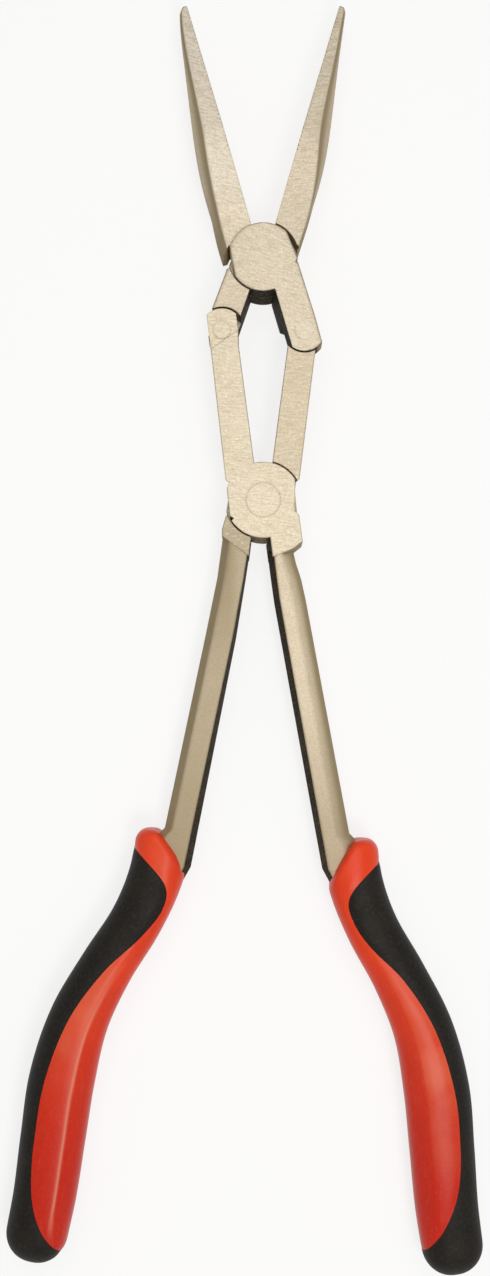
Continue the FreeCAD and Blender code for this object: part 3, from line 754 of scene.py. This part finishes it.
padLook = {                                  # black rubber, lengths in mm, noise scales to a mm
    "black": tone(17, 13, 8),
    "worn": tone(58, 52, 42),
    "clouds": 0.14,
    "cloudsSeen": (0.40, 0.75),
    "cloudsShare": 0.12,
    "scuffs": 0.9,
    "scuffsStretch": (1.0, 0.3, 1.0),
    "scuffsSeen": (0.55, 0.80),
    "scuffsShare": 0.25,
    "dust": 1 / 0.6,
    "dustSeen": (0.45, 0.70),
    "dustShare": 0.3,
    "grain": 1 / 0.32,
    "grainHeight": 0.6,
    "depth": 0.02,
    "strength": 0.4,
    "rough": 0.52,
    "roughScuffs": 0.16,
    "gloss": 0.22,
}


def padFinish(name):
    # matte black rubber with a coarser grain
    look = padLook
    material, coat, shader = newMaterial(name)
    spot = coat.place()
    grain = coat.node("ShaderNodeTexVoronoi", None, {"Vector": spot, "Scale": look["grain"]})
    clouds = coat.noise(spot, look["clouds"], detail=4.0)
    scuffs = coat.noise(coat.place(0, look["scuffsStretch"]), look["scuffs"], detail=5.0, roughness=0.7)
    dust = coat.ease(coat.noise(spot, look["dust"], roughness=0.65), *look["dustSeen"])
    marks = dust * look["dustShare"] + coat.ease(clouds, *look["cloudsSeen"]) * look["cloudsShare"]
    marks = marks + coat.ease(scuffs, *look["scuffsSeen"]) * look["scuffsShare"]
    colour = coat.mix(marks, look["black"], look["worn"])
    depth = {"Strength": look["strength"], "Distance": look["depth"] * mm}
    bump = coat.node("ShaderNodeBump", None, {"Height": grain * look["grainHeight"] + scuffs, **depth})
    rough = look["rough"] + scuffs * look["roughScuffs"]
    coat.fill(shader, {"Base Color": colour, "Roughness": rough, "Normal": bump,
                       "Specular IOR Level": look["gloss"]})
    return material


redPlastic = sleeveFinish("red_plastic")
blackRubber = padFinish("black_rubber")
for name, side in gripSides.items():
    side["rolled"] = rolledSeam(side)
    for kind, operation, gap, finish, slot in (
        ("sleeve", "DIFFERENCE", -gripShape["seamGap"], redPlastic, "red_sleeve"),
        ("pad", "INTERSECT", 0.0, blackRubber, "black_pad"),
    ):
        made = splitGrip(side, operation, gap)
        piece = finishedPiece(kind + "_" + name, made, sidePlacing(name))
        piece.data.materials.clear()
        piece.data.materials.append(finish)
        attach(piece, side["body"])
        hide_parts("grip_" + kind + "_" + name)
    print("grip made:", name)


studio = {                     # in metres
    "middle": -0.035,          # of the floor and the wall, along the tool
    "floor": tone(250, 250, 250),
    "floorSize": 1.6,
    "floorDrop": 0.0002,       # under the grips
    "wallDrop": 0.0004,
    "wallRadius": 2.0,
    "wallHeight": 1.6,
    "wallBend": 0.5,
    "wallPoints": 96,
    "bendRings": 12,
    "shadowLeft": 0.22,        # share of the floor's own shading that the camera sees
    "skyTone": (1.0, 0.985, 0.96, 1.0),
    "skyLow": 0.18,
    "skyHigh": 0.45,
    "skyTop": 0.9,             # share of the way up where it is brightest
    "lampTone": (1.0, 0.98, 0.95),
    "lamps": {
        "softbox": {"place": (0.015, 0.095, 0.42), "aim": (0, -0.03, 0), "size": 0.30, "power": 0.62},
        "sheen": {"place": (0.09, -0.20, 0.42), "aim": (0, -0.12, 0), "size": 0.11, "power": 0.62},
    },
}


def floorFinish():
    material = bpy.data.materials.new("pale_floor")
    material.use_nodes = True
    tree = material.node_tree
    tree.nodes.clear()
    coat = Coat(tree)
    seen = coat.node("ShaderNodeLightPath", None, None, "Is Camera Ray")
    for ray in ("Is Glossy Ray", "Is Transmission Ray"):
        seen = seen + coat.node("ShaderNodeLightPath", None, None, ray)
    share = seen.math("MINIMUM", 1.0) * (1 - studio["shadowLeft"])
    plain = coat.node("ShaderNodeBsdfDiffuse", None, {"Color": studio["floor"]})
    white = coat.node("ShaderNodeEmission", None, {"Color": (1, 1, 1, 1), "Strength": 1.0})
    both = coat.node("ShaderNodeMixShader", None, {0: share, 1: plain, 2: white})
    coat.fill(tree.nodes.new("ShaderNodeOutputMaterial"), {"Surface": both})
    return material


def makeFloor():
    made = bmesh.new()
    bmesh.ops.create_grid(made, x_segments=1, y_segments=1, size=studio["floorSize"])
    place = (0, studio["middle"], cadBox[0][2] - studio["floorDrop"])
    bmesh.ops.translate(made, verts=made.verts, vec=place)
    floor = newObject("floor", made)
    floor.data.materials.append(floorFinish())


def makeBackdrop():
    # a round pale wall far off, which only the camera and reflections see
    radius, bend, steps = studio["wallRadius"], studio["wallBend"], studio["bendRings"]
    made = bmesh.new()
    bmesh.ops.create_circle(made, radius=radius - bend, segments=studio["wallPoints"])
    edges = made.edges[:]
    turns = [math.pi / 2 * i / steps for i in range(1, steps + 1)]
    rings = [(radius - bend + bend * math.sin(turn), bend - bend * math.cos(turn)) for turn in turns]
    before = (radius - bend, 0.0)
    for reach, rise in rings + [(radius, studio["wallHeight"])]:
        grown = bmesh.ops.extrude_edge_only(made, edges=edges)
        edges = newest(grown, bmesh.types.BMEdge)
        verts = newest(grown, bmesh.types.BMVert)
        share = reach / before[0]
        bmesh.ops.scale(made, verts=verts, vec=(share, share, 1))
        bmesh.ops.translate(made, verts=verts, vec=(0, 0, rise - before[1]))
        before = (reach, rise)
    place = (0, studio["middle"], cadBox[0][2] - studio["wallDrop"])
    bmesh.ops.translate(made, verts=made.verts, vec=place)
    wall = newObject("wall", made)
    wall.data.shade_smooth()
    wall.data.materials.append(floorFinish())
    wall.visible_diffuse = False
    wall.visible_shadow = False


def makeSky():
    world = bpy.data.worlds.new("sky")
    bpy.context.scene.world = world
    world.use_nodes = True
    coat = Coat(world.node_tree)
    high = coat.split(coat.node("ShaderNodeTexCoord", None, None, "Generated"), 2)
    level = coat.ease(high, 0.0, studio["skyTop"], studio["skyLow"], studio["skyHigh"])
    back = next(n for n in world.node_tree.nodes if n.type == "BACKGROUND")
    coat.fill(back, {"Color": studio["skyTone"], "Strength": level})


def makeLamp(name, spec):
    lamp = bpy.data.lights.new(name, "AREA")
    lamp.size = spec["size"]
    lamp.energy = spec["power"]
    lamp.color = studio["lampTone"]
    thing = bpy.data.objects.new(name, lamp)
    bpy.context.scene.collection.objects.link(thing)
    thing.location = spec["place"]
    way = Vector(spec["aim"]) - Vector(spec["place"])
    thing.rotation_euler = way.to_track_quat("-Z", "Y").to_euler()


lens = {
    "span": 0.2731,                  # metres that the picture's height covers at the steel's front face
    "distance": 0.290,               # from that face
    "aside": (-0.0016, -0.0476),     # where the lens points, from the main rivet
    "centre": (-0.0039, -0.0296),    # what the middle of the picture shows
    "sensor": 36.0,
}


def makeCamera():
    camera = bpy.data.cameras.new("camera")
    camera.sensor_width = lens["sensor"]
    camera.lens = lens["sensor"] * lens["distance"] / lens["span"]
    camera.shift_x = (lens["centre"][0] - lens["aside"][0]) / lens["span"]
    camera.shift_y = (lens["centre"][1] - lens["aside"][1]) / lens["span"]
    thing = bpy.data.objects.new("camera", camera)
    bpy.context.scene.collection.objects.link(thing)
    face = 2 * steelMiddle * mm
    thing.location = (*lens["aside"], face + lens["distance"])
    bpy.context.scene.camera = thing


makeFloor()
makeBackdrop()
makeSky()
for name, spec in studio["lamps"].items():
    makeLamp(name, spec)
makeCamera()
bpy.context.scene.view_settings.view_transform = "Standard"
print("studio set")
